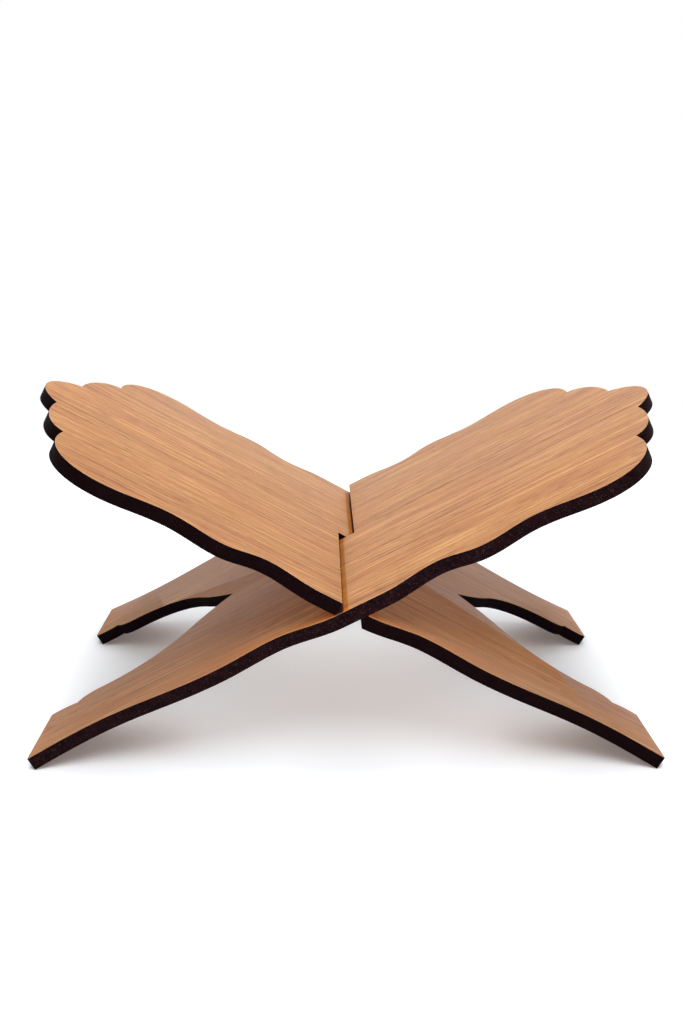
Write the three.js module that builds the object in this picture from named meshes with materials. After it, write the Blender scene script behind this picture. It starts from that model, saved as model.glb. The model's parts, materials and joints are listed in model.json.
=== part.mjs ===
// A folding book rest: two flat boards, half-lapped through one another into an X.
// Units are millimetres. +Z is up, +X is to the reader's right, and the reader stands at -Y.
// The origin is on the table, below the line where the two boards cross.
import * as THREE from 'three';

// ---- Driving dimensions ----

const coreThickness = 6.8;
const veneerThickness = 0.5;
const glueLine = 0.1;               // between the core and each veneer
const openHalfAngle = 28.26;        // degrees that each board leans from level, fully open
const slotClearance = 0.35;         // spare half-width of a slot, beyond where the boards bind
const slotOvershoot = 0.3;          // each slot runs past the middle of the board by this much
const curveStep = 2.5;                // length of one straight piece of a curved edge

// The outline of one board, as [along, across]. Along runs from the crossing line to the wing
// tip (positive) or to the feet (negative). Across is the distance from the board's middle, and
// the two sides are alike. Each curve has its start, two handles and its end.
const wingTip = [205.4, 0];
const innerNotch = [191, 27];
const outerNotch = [174.3, 68.8];
const shoulder = [141, 113.2];
const wingEndCurves = [
  [wingTip, [205.4, 11], [199.5, 21.5], innerNotch],
  [innerNotch, [192.2, 41], [187.5, 65.5], outerNotch],
  [outerNotch, [177.5, 93], [164, 113.2], shoulder],
];

// The side edge is a row of half waves between crests and troughs. The foot cuts the last half
// wave in the middle, so its far end lies past the board.
const footOuterCorner = [-199, 101.5];
const lastTrough = [-158, 96.6];
const crestPastFoot = [
  2 * footOuterCorner[0] - lastTrough[0],
  2 * footOuterCorner[1] - lastTrough[1],
];
const sideWaves = [
  shoulder, [105, 106.7], [76, 112.4], [50.5, 104.9], [20, 111.8], [-6, 111.6],
  [-46, 102.4], [-80, 105.9], lastTrough, crestPastFoot,
];

// The inside of a leg: a shallow toe, a small step above it, then one side of the pointed arch.
const footInnerCorner = [-199, 55];
const toeEnd = [-181, 55.2];
const stepEnd = [-168, 48.8];
const archBend = [-109, 25.6];
const archTip = [-79.7, 0];
const legInsideCurves = [
  [footInnerCorner, [-193, 53.6], [-187, 53.6], toeEnd],
  [toeEnd, [-178.5, 51.5], [-175, 49.2], stepEnd],
  [stepEnd, [-145, 50], [-124, 42], archBend],
  [archBend, [-101, 16], [-92, 8.5], archTip],
];

const charredFibreboard = { color: 0x1e1216, roughness: 0.75, metalness: 0 };
const woodVeneer = { color: 0xcf9a6e, roughness: 0.55, metalness: 0 };

// ---- Derived dimensions ----

const halfAngle = THREE.MathUtils.degToRad(openHalfAngle);
const boardThickness = coreThickness + 2 * (glueLine + veneerThickness);
const bindingHalfWidth = boardThickness / 2 / Math.tan(halfAngle);
const slotHalfWidth = bindingHalfWidth + slotClearance;
const footReach = -footOuterCorner[0];
const crossingHeight = footReach * Math.sin(halfAngle) + boardThickness / 2 * Math.cos(halfAngle);

// ---- Outline ----

function vector([along, across]) {
  return new THREE.Vector2(along, across);
}

// Points along a curve, about one curve step apart, without its last point.
function curvePoints(corners) {
  const curve = new THREE.CubicBezierCurve(...corners.map(vector));
  const count = Math.max(2, Math.ceil(curve.getLength() / curveStep));
  return curve.getSpacedPoints(count).slice(0, -1);
}

// A point on the half wave between a crest and a trough, at a fraction of the way along it.
function wavePoint([startAlong, startAcross], [endAlong, endAcross], fraction) {
  const ease = (1 - Math.cos(Math.PI * fraction)) / 2;
  const along = THREE.MathUtils.lerp(startAlong, endAlong, fraction);
  return new THREE.Vector2(along, THREE.MathUtils.lerp(startAcross, endAcross, ease));
}

// The side edge from the shoulder to just short of the foot.
function sidePoints() {
  const points = [];
  for (let index = 1; index < sideWaves.length; index++) {
    const start = sideWaves[index - 1];
    const end = sideWaves[index];
    const count = Math.ceil((start[0] - end[0]) / curveStep);
    for (let step = 0; step < count; step++) {
      points.push(wavePoint(start, end, step / count));
    }
  }
  return points.filter((point) => point.x > -footReach + curveStep / 2);
}

// Where the side edge is at a place along the board.
function sidePointAt(along) {
  const index = sideWaves.findIndex(([waveEnd]) => waveEnd < along);
  const start = sideWaves[index - 1];
  const end = sideWaves[index];
  return wavePoint(start, end, (start[0] - along) / (start[0] - end[0]));
}

// One side of the board, from the wing tip round to the tip of the arch.
function halfOutline() {
  return [
    ...wingEndCurves.flatMap(curvePoints),
    ...sidePoints(),
    vector(footOuterCorner),
    ...legInsideCurves.flatMap(curvePoints),
    vector(archTip),
  ];
}

// The whole board. Its slot opens at the positive side and ends just past the middle.
function boardShape() {
  const half = halfOutline();
  const wingSide = half.filter((point) => point.x > slotHalfWidth);
  const legSide = half.filter((point) => point.x < -slotHalfWidth);
  const slot = [
    sidePointAt(slotHalfWidth),
    vector([slotHalfWidth, -slotOvershoot]),
    vector([-slotHalfWidth, -slotOvershoot]),
    sidePointAt(-slotHalfWidth),
  ];
  const mirrored = half.slice(1, -1).reverse().map((point) => vector([point.x, -point.y]));
  return new THREE.Shape([...wingSide, ...slot, ...legSide, ...mirrored]);
}

// ---- Sheets and boards ----

// One sheet of a board, from a height above the board's middle plane up through its thickness.
function sheet(name, shape, underside, thickness, finish) {
  const geometry = new THREE.ExtrudeGeometry(shape, { depth: thickness, bevelEnabled: false });
  geometry.translate(0, 0, underside);
  const mesh = new THREE.Mesh(geometry, new THREE.MeshStandardMaterial(finish));
  mesh.name = name;
  return mesh;
}

// A core with a veneer on each face. The board lies along X, and leans with its wing end up.
function board(name) {
  const shape = boardShape();
  const coreTop = coreThickness / 2;
  const veneerBase = coreTop + glueLine;
  const veneerTop = veneerBase + veneerThickness;
  const group = new THREE.Group();
  group.add(
    sheet(`${name}_core`, shape, -coreTop, coreThickness, charredFibreboard),
    sheet(`${name}_upper_veneer`, shape, veneerBase, veneerThickness, woodVeneer),
    sheet(`${name}_lower_veneer`, shape, -veneerTop, veneerThickness, woodVeneer),
  );
  group.rotation.y = -halfAngle;
  return group;
}

// The second board is the first one turned half round, so that the two slots face each other.
function bookRest() {
  const turnedRound = new THREE.Group();
  turnedRound.add(board('left_wing_board'));
  turnedRound.rotation.z = Math.PI;
  const rest = new THREE.Group();
  rest.add(board('right_wing_board'), turnedRound);
  rest.position.z = crossingHeight;
  return rest;
}

export default bookRest();
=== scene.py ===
"""The looks of a folding book rest: two half-lapped boards of wood veneer on charred fibreboard."""
import json
import math

import bpy
from mathutils import Matrix, Vector


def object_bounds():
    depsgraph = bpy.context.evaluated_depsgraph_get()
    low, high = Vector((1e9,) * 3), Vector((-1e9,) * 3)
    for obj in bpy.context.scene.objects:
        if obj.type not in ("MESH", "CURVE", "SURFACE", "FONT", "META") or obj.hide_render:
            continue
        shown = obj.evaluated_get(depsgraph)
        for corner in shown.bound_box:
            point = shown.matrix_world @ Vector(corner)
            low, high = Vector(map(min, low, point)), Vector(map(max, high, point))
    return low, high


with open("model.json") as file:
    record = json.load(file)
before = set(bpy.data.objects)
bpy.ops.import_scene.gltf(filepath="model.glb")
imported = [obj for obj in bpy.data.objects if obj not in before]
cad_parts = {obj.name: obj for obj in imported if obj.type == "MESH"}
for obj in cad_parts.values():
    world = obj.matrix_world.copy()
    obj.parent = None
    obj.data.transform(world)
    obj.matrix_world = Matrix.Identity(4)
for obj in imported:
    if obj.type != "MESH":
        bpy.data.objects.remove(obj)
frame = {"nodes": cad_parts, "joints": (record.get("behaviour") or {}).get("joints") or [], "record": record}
cad_low, cad_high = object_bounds()

MM = 0.001

# ---- Where things are, from the frame ----

HINGE = frame["joints"][0]
CROSSING = Vector(HINGE["pos_m"])
PAGE_REST = frame["record"]["mounts"][0]
LEAN = math.atan2(-PAGE_REST["axis"][0], PAGE_REST["axis"][2])
FACE_HEIGHT = (Vector(PAGE_REST["pos_m"]) - CROSSING).dot(Vector(PAGE_REST["axis"]))
TURNED_ROUND = math.pi

# A strip of painted shade and warm bounce light where the other board overhangs, with painted deep shade in
# it, as places along a board from the crossing.
SHADE_STRIP_START = -17 * MM
DEEP_SHADE_START = -7 * MM
DEEP_SHADE_END = -2.4 * MM
SHADE_STRIP_END = 0.5 * MM

# How far below a face the charring of the cut edges starts, and over what depth it fades in.
SOOT_DEPTH = 0.3 * MM
SOOT_FADE = 0.06 * MM

# Where the edges of the leg arch are: this far from the middle line, and this far from the crossing. Inside
# the arch the cut edges are painted near-black, as shade.
ARCH_SIDE = 60 * MM
ARCH_TIP = 40 * MM
ARCH_FADE = 20 * MM

# The outer edge of a leg, taken as a straight line: its distance from the board's middle line.
RIM_AT_CROSSING = 113 * MM
RIM_SLOPE = 0.23

# ---- Camera: where the viewer stands, in metres and degrees ----

CAMERA_PLACE = Vector((-0.0165, -0.5233, 0.1847)) + CROSSING
CAMERA_DOWN = 17.39
CAMERA_LEFT = -1.45
CAMERA_TILT = 0.73
SENSOR = 36.0
LENS = 30.74

# ---- Small helpers ----


def linear(red, green, blue):
    """A colour given as 0 to 255 screen values, as the linear values that shaders take."""
    values = [channel / 255 for channel in (red, green, blue)]
    return [v / 12.92 if v <= 0.04045 else ((v + 0.055) / 1.055) ** 2.4 for v in values] + [1.0]


class Graph:
    """A material's node tree, built one node at a time."""

    def __init__(self, name):
        self.material = bpy.data.materials.new(name)
        self.material.use_nodes = True
        self.tree = self.material.node_tree
        self.tree.nodes.clear()

    def add(self, kind, inputs=(), **settings):
        node = self.tree.nodes.new(kind)
        for setting, value in settings.items():
            setattr(node, setting, value)
        for socket, value in dict(inputs).items():
            self.feed(node.inputs[socket], value)
        return node

    def feed(self, socket, value):
        if isinstance(value, bpy.types.NodeSocket):
            self.tree.links.new(value, socket)
        else:
            socket.default_value = value

    def math(self, operation, first, second=0.0, third=0.0):
        node = self.add("ShaderNodeMath", {0: first, 1: second, 2: third}, operation=operation)
        return node.outputs[0]

    def remap(self, value, low, high, to_low=0.0, to_high=1.0):
        """Value from low..high to to_low..to_high, clamped, with soft ends."""
        inputs = {"Value": value, "From Min": low, "From Max": high, "To Min": to_low, "To Max": to_high}
        return self.add("ShaderNodeMapRange", inputs, interpolation_type="SMOOTHSTEP").outputs[0]

    def mix(self, factor, first, second, blend="MIX"):
        node = self.add("ShaderNodeMix", data_type="RGBA", blend_type=blend)
        self.feed(node.inputs[0], factor)
        self.feed(node.inputs[6], first)
        self.feed(node.inputs[7], second)
        return node.outputs[2]

    def noise(self, vector, scale, detail=2.0, roughness=0.5, seed=0.0):
        """Noise whose features are 1/scale metres along, across and through the board."""
        stretched = self.add("ShaderNodeVectorMath", {0: vector, 1: scale}, operation="MULTIPLY")
        inputs = {"Vector": stretched.outputs[0], "W": seed, "Scale": 1.0, "Detail": detail,
                  "Roughness": roughness}
        return self.add("ShaderNodeTexNoise", inputs, noise_dimensions="4D").outputs["Fac"]


def board_normal(turned):
    """The way a board's upper face looks at rest."""
    return (-math.sin(LEAN) * math.cos(turned), 0.0, math.cos(LEAN))


def board_space(graph, turned):
    """Coordinates on a board: along it from the crossing, across it, and out from its middle."""
    place = graph.add("ShaderNodeTexCoord").outputs["Object"]
    inputs = {"Vector": place, "Location": CROSSING, "Rotation": (0, -LEAN, turned)}
    return graph.add("ShaderNodeMapping", inputs, vector_type="TEXTURE").outputs[0]


def facing(graph, turned):
    """How squarely a surface faces out of a board: 1 on its faces, 0 on its cut edges."""
    normal = graph.add("ShaderNodeTexCoord").outputs["Normal"]
    inputs = {0: normal, 1: board_normal(turned)}
    dot = graph.add("ShaderNodeVectorMath", inputs, operation="DOT_PRODUCT")
    return graph.math("ABSOLUTE", dot.outputs["Value"])


def shader(graph, colour, roughness, bump_height, bump_distance, specular):
    """The shader of a material, with relief from a height. It returns the shader's node."""
    bump = graph.add("ShaderNodeBump", {"Height": bump_height, "Distance": bump_distance})
    inputs = {"Base Color": colour, "Roughness": roughness, "Specular IOR Level": specular,
              "Normal": bump.outputs[0]}
    surface = graph.add("ShaderNodeBsdfPrincipled", inputs)
    graph.add("ShaderNodeOutputMaterial", {"Surface": surface.outputs[0]})
    return surface


# ---- Materials ----

WOOD_DARK = linear(128, 77, 46)
WOOD_MIDDLE = linear(166, 115, 72)
WOOD_LIGHT = linear(197, 148, 98)
PORE = linear(108, 66, 40)
# pale grain streaks, also used for the painted highlight along the arrises
GLINT = linear(206, 158, 105)
# soot on the cut edges, also used for painted deep shade
SOOT_AND_DEEP_SHADE = linear(10, 3, 5)
# painted warm light along the outer edges of the legs
RIM_LIGHT_ORANGE = linear(196, 120, 50)
FIBRE = linear(150, 128, 128)
YELLOW_TINT = (0.99, 1.01, 0.98, 1)
ROSY_TINT = (1.015, 0.985, 0.985, 1)
# painted shade and sheen: the legs' wood is made greyer than the wings'
LEG_SHADE_SHEEN_TINT = (1.02, 1.01, 1.12, 1)     # the legs are a little greyer than the wings
LEG_CALM = 0.35                      # the share of the grain's contrast that the legs lack
# painted shade with warm bounce light, for the strip where the other board overhangs
SHADE_BOUNCE_TINT = (0.82, 0.57, 0.2, 1)
WOOD_SPECULAR = 0.18
CHAR_SPECULAR = 0.02
WOOD_RELIEF = 0.12 * MM
CHAR_RELIEF = 0.15 * MM
BOARDS = {    # turn, noise seed, soot, ash, share of pale fibres, sheen
    "right_wing_board": (0.0, 1.0, linear(12, 2, 4), linear(22, 6, 8), 0.09, 0.01),
    "left_wing_board": (TURNED_ROUND, 71.0, linear(8, 1, 2), linear(12, 2, 3), 0.02, 0.0),
}


def straight_grain(graph, space, seed):
    """Board coordinates with a slow sideways drift, for grain that isn't ruler-straight."""
    drift = graph.noise(space, (2.5, 7, 0), 1, 0.5, seed)
    shift = graph.math("MULTIPLY_ADD", drift, 4 * MM, -2 * MM)
    sideways = graph.add("ShaderNodeCombineXYZ", {"Y": shift}).outputs[0]
    return graph.add("ShaderNodeVectorMath", {0: space, 1: sideways}, operation="ADD").outputs[0]


def grain_tone(graph, grain, seed):
    """From dark latewood to light earlywood, as a weighted sum of noises along the grain."""
    layers = (                       # weight, features per metre along and across, detail
        (0.16, (2, 60, 0), 1),
        (0.16, (11, 230, 0), 1),
        (0.20, (4, 520, 0), 2),
        (0.26, (24, 420, 0), 2),
        (0.14, (110, 900, 0), 1),
        (0.08, (380, 1400, 0), 1),
    )
    tone = 0.0
    for index, (weight, scale, detail) in enumerate(layers):
        layer = graph.noise(grain, scale, detail, 0.6, seed + index)
        tone = graph.math("MULTIPLY_ADD", layer, weight, tone)
    return tone


def calm_tone(graph, tone, leg):
    """The tone with its contrast lowered on the legs, where the grain is quieter."""
    contrast = graph.math("MULTIPLY_ADD", leg, -LEG_CALM, 1.0)
    away_from_middle = graph.math("SUBTRACT", tone, 0.5)
    return graph.math("MULTIPLY_ADD", away_from_middle, contrast, 0.5)


def wood_colour(graph, grain, tone, seed):
    """The grain's three browns, with dark pores, pale glints and slow changes from rosy to yellow."""
    lower = graph.mix(graph.remap(tone, 0.405, 0.5), WOOD_DARK, WOOD_MIDDLE)
    colour = graph.mix(graph.remap(tone, 0.5, 0.595), lower, WOOD_LIGHT)
    pores = graph.remap(graph.noise(grain, (75, 650, 0), 1, 0.5, seed), 0.55, 0.72)
    patches = graph.remap(graph.noise(grain, (16, 50, 0), 1, 0.5, seed + 1), 0.42, 0.6)
    pores = graph.math("MULTIPLY", pores, patches)
    colour = graph.mix(graph.math("MULTIPLY", pores, 0.65), colour, PORE)
    glints = graph.remap(graph.noise(grain, (12, 650, 0), 1, 0.5, seed + 2), 0.56, 0.7)
    colour = graph.mix(graph.math("MULTIPLY", glints, 0.6), colour, GLINT)
    yellow = graph.remap(graph.noise(grain, (9, 45, 0), 2, 0.5, seed + 3), 0.35, 0.65)
    tint = graph.mix(yellow, ROSY_TINT, YELLOW_TINT)
    return graph.mix(1.0, colour, tint, "MULTIPLY")


def painted_shade_strip(graph, space, colour, towards_wing, seed):
    """A strip of painted shade with warm bounce light where the other board overhangs: orange-brown wood,
    with painted deep shade in it.

    On an upper face it is on the leg side of the crossing, and on a lower face on the wing side.
    """
    along = graph.add("ShaderNodeSeparateXYZ", {0: space}).outputs["X"]
    ragged = graph.math("MULTIPLY", graph.noise(space, (900, 900, 0), 2, 0.6, seed), 1.6 * MM)
    place = graph.math("MULTIPLY_ADD", along, towards_wing, ragged)

    # painted shade with warm bounce light, orange-brown, beside the other board's overhang
    shade_tinted = graph.mix(1.0, colour, SHADE_BOUNCE_TINT, "MULTIPLY")
    shade_in = graph.remap(place, SHADE_STRIP_START, DEEP_SHADE_START)
    shade_out = graph.remap(place, SHADE_STRIP_END, SHADE_STRIP_END + 0.5 * MM, 1.0, 0.0)
    colour = graph.mix(graph.math("MULTIPLY", shade_in, shade_out), colour, shade_tinted)

    # painted deep shade, close under the other board's overhang
    deep_shade_in = graph.remap(place, DEEP_SHADE_START, DEEP_SHADE_START + 1 * MM, 0.0, 0.93)
    deep_shade_out = graph.remap(place, DEEP_SHADE_END, DEEP_SHADE_END + 0.7 * MM, 1.0, 0.0)
    return graph.mix(graph.math("MULTIPLY", deep_shade_in, deep_shade_out), colour, SOOT_AND_DEEP_SHADE)


def painted_rim_light(graph, space, colour):
    """Painted warm light, orange-brown, on the wood along the outer edges of the legs, strongest at the
    crossing.
    """
    place = graph.add("ShaderNodeSeparateXYZ", {0: space}).outputs
    edge = graph.math("MULTIPLY_ADD", place["X"], RIM_SLOPE, RIM_AT_CROSSING)
    inside = graph.math("SUBTRACT", edge, graph.math("ABSOLUTE", place["Y"]))
    rim = graph.remap(inside, 1 * MM, 9 * MM, 0.75, 0.0)
    leg = graph.remap(place["X"], 0, 3 * MM, 1.0, 0.0)
    near = graph.math("MULTIPLY", leg, graph.remap(place["X"], -110 * MM, -8 * MM))
    return graph.mix(graph.math("MULTIPLY", rim, near), colour, RIM_LIGHT_ORANGE)


def wood_veneer(name, turned, seed, towards_wing):
    """Wood with a straight grain, sooty below its face, and with a painted highlight along its arrises."""
    graph = Graph(name)
    space = board_space(graph, turned)
    grain = straight_grain(graph, space, seed)
    along = graph.add("ShaderNodeSeparateXYZ", {0: space}).outputs["X"]
    leg = graph.remap(along, -60 * MM, 0, 1.0, 0.0)
    tone = calm_tone(graph, grain_tone(graph, grain, seed + 1), leg)
    colour = wood_colour(graph, grain, tone, seed + 6)
    # painted shade and sheen: the legs' wood is made greyer
    colour = graph.mix(leg, colour, graph.mix(1.0, colour, LEG_SHADE_SHEEN_TINT, "MULTIPLY"))
    # painted warm light along the legs' outer edges
    colour = painted_rim_light(graph, space, colour)
    colour = painted_shade_strip(graph, space, colour, towards_wing, seed + 10)

    # painted highlight: the rounded arrises are made paler
    arris_highlight = graph.remap(facing(graph, turned), 0.5, 0.97, 0.55, 0.0)
    colour = graph.mix(arris_highlight, colour, GLINT)
    height = graph.math("ABSOLUTE", graph.add("ShaderNodeSeparateXYZ", {0: space}).outputs["Z"])
    clean = graph.remap(height, FACE_HEIGHT - SOOT_DEPTH, FACE_HEIGHT - SOOT_DEPTH + SOOT_FADE)
    colour = graph.mix(clean, SOOT_AND_DEEP_SHADE, colour)
    roughness = graph.remap(tone, 0.4, 0.6, 0.52, 0.62)
    shader(graph, colour, roughness, tone, WOOD_RELIEF, WOOD_SPECULAR)
    return graph.material


def charred_edge(name, turned, seed, soot, ash, fibres, sheen):
    """Laser-charred fibreboard: soot, and outside the leg arch also ash, with pale fibres showing. Inside
    the arch the edges are painted near-black, as shade.
    """
    graph = Graph(name)
    space = board_space(graph, turned)
    place = graph.add("ShaderNodeSeparateXYZ", {0: space}).outputs
    rim = graph.remap(graph.math("ABSOLUTE", place["Y"]), ARCH_SIDE, ARCH_SIDE + ARCH_FADE)
    wing = graph.remap(place["X"], -ARCH_TIP, -ARCH_TIP + ARCH_FADE)
    clear_of_arch_shade = graph.math("MAXIMUM", rim, wing)
    cloud = graph.noise(space, (150, 150, 250), 2, 0.6, seed)
    specks = graph.noise(space, (1500, 1500, 1500), 1, 0.6, seed + 1)
    colour = graph.mix(graph.remap(cloud, 0.35, 0.65), soot, ash)
    colour = graph.mix(graph.remap(specks, 0.56, 0.72, 0.0, fibres), colour, FIBRE)
    # painted shade: inside the leg arch the cut edges are made near-black
    colour = graph.mix(clear_of_arch_shade, SOOT_AND_DEEP_SHADE, colour)
    colour = graph.mix(graph.remap(specks, 0.28, 0.42, 0.6, 0.0), colour, SOOT_AND_DEEP_SHADE)
    roughness = graph.remap(specks, 0.3, 0.7, 0.65, 0.85)
    surface = shader(graph, colour, roughness, specks, CHAR_RELIEF, CHAR_SPECULAR)
    surface.inputs["Sheen Weight"].default_value = sheen
    surface.inputs["Sheen Roughness"].default_value = 0.4
    surface.inputs["Sheen Tint"].default_value = FIBRE
    return graph.material


# ---- Finish of the CAD sheets ----

CORE_ARRIS = 0.1 * MM
VENEER_ARRIS = 0.2 * MM


def finish_sheet(node, normal, arris, face_material, edge_material, arris_material=0):
    """Give a sheet its face and cut-edge materials, smooth curves and softly rounded arrises.

    The arrises take material 0, which is the face's, or material 1, which is the cut edge's.
    """
    node.data.materials.clear()
    node.data.materials.append(face_material)
    node.data.materials.append(edge_material)
    for polygon in node.data.polygons:
        polygon.use_smooth = True
        polygon.material_index = int(abs(polygon.normal.dot(normal)) < 0.5)
    weld = node.modifiers.new("weld", "WELD")
    weld.merge_threshold = 0.01 * MM
    flatten = node.modifiers.new("flatten", "DECIMATE")
    flatten.decimate_type = "DISSOLVE"
    flatten.angle_limit = math.radians(0.5)
    flatten.delimit = {"MATERIAL"}
    bevel = node.modifiers.new("arris", "BEVEL")
    bevel.width = arris
    bevel.segments = 3
    bevel.limit_method = "ANGLE"
    bevel.angle_limit = math.radians(40)
    bevel.use_clamp_overlap = False
    bevel.harden_normals = True
    bevel.material = arris_material


def finish_board(name, turned, seed, soot, ash, fibres, sheen):
    """Finish a board's core and veneers. The lower veneer's arrises are charred, like its cut edges."""
    normal = Vector(board_normal(turned))
    char = charred_edge(f"{name}_char", turned, seed, soot, ash, fibres, sheen)
    finish_sheet(frame["nodes"][f"{name}_core"], normal, CORE_ARRIS, char, char)
    for index, side in enumerate(("upper", "lower")):
        towards_wing = 1 - 2 * index
        veneer = wood_veneer(f"{name}_{side}_wood", turned, seed + 20 * (index + 1), towards_wing)
        finish_sheet(frame["nodes"][f"{name}_{side}_veneer"], normal, VENEER_ARRIS, veneer, char, index)


# ---- Studio ----

FLOOR_RADIUS = 0.8
FLOOR_GLOW = 0.29
FLOOR_TINT = (0.84, 1.0, 1.09, 1)    # cancels the warm light that the wood sends down
SKY_REACH = 45 * MM                  # how near the object has to be to shade the glow
FLOOR_WHITE = linear(240, 246, 252)
FLOOR_SHADE = linear(205, 211, 217)
WHITE = (1, 1, 1, 1)
SOFTBOXES = {    # degrees round from the front, degrees up, metres away, side in metres, watts
    "front_fill": (0, 5, 1.4, 0.7, 19.0),
    "overhead_front": (0, 60, 1.4, 0.7, 10.0),
    "overhead": (0, 90, 1.3, 0.6, 11.2),
    "rear_wall": (180, 28, 1.7, 2.4, 14.5),
    "rear_right": (135, 25, 1.4, 0.9, 2.8),
    "rear_left": (-135, 25, 1.4, 0.9, 2.1),
}


def studio_floor():
    """A white floor that glows a little, as under a wide sky, apart from close below the object."""
    bpy.ops.mesh.primitive_circle_add(
        vertices=128, radius=FLOOR_RADIUS, fill_type="NGON", location=(0, 0, cad_low.z)
    )
    floor = bpy.context.object
    floor.name = "studio_floor"
    graph = Graph("studio_floor")
    place = graph.add("ShaderNodeTexCoord").outputs["Object"]
    grain = graph.noise(place, (300, 300, 300))
    sky = graph.add("ShaderNodeAmbientOcclusion", {"Distance": SKY_REACH}, samples=8)
    # painted shade: the floor's colour is made darker where the object is close above it
    colour = graph.mix(graph.remap(sky.outputs["AO"], 0.15, 0.7), FLOOR_SHADE, FLOOR_WHITE)
    surface = shader(graph, colour, 0.9, grain, 0.01 * MM, 0.1)
    glow = graph.remap(sky.outputs["AO"], 0.25, 0.95, 0.02, FLOOR_GLOW)
    graph.feed(surface.inputs["Emission Strength"], glow)
    distance = graph.add("ShaderNodeVectorMath", {0: place}, operation="LENGTH").outputs["Value"]
    under_wood = graph.remap(distance, 120 * MM, 200 * MM, 1.0, 0.0)
    graph.feed(surface.inputs["Emission Color"], graph.mix(under_wood, WHITE, FLOOR_TINT))
    floor.data.materials.append(graph.material)


def softbox(name, around, up, distance, side, watts):
    light = bpy.data.lights.new(name, "AREA")
    light.size = side
    light.energy = watts
    box = bpy.data.objects.new(name, light)
    bpy.context.scene.collection.objects.link(box)
    around, up = math.radians(around), math.radians(up)
    away = Vector((math.cos(up) * math.sin(around), -math.cos(up) * math.cos(around), math.sin(up)))
    box.location = CROSSING + distance * away
    box.rotation_euler = (-away).to_track_quat("-Z", "Y").to_euler()
    box.visible_camera = False


def white_room():
    """A white room that is seen round the object and reflected in it, and doesn't light it."""
    world = bpy.data.worlds.new("white_room")
    bpy.context.scene.world = world
    world.use_nodes = True
    world.node_tree.nodes["Background"].inputs["Color"].default_value = WHITE
    world.cycles_visibility.diffuse = False


def studio_light():
    white_room()
    for name, measures in SOFTBOXES.items():
        softbox(name, *measures)
    bpy.context.scene.view_settings.view_transform = "Standard"


def viewer():
    """The camera, which looks a little down at the crossing from in front."""
    data = bpy.data.cameras.new("viewer")
    data.sensor_width = SENSOR
    data.lens = LENS
    camera = bpy.data.objects.new("viewer", data)
    bpy.context.scene.collection.objects.link(camera)
    turn = Matrix.Rotation(math.radians(CAMERA_LEFT), 4, "Z")
    tip = Matrix.Rotation(math.radians(90 - CAMERA_DOWN), 4, "X")
    roll = Matrix.Rotation(math.radians(CAMERA_TILT), 4, "Z")
    camera.matrix_world = Matrix.Translation(CAMERA_PLACE) @ turn @ tip @ roll
    bpy.context.scene.camera = camera


for board, looks in BOARDS.items():
    finish_board(board, *looks)
studio_floor()
studio_light()
viewer()
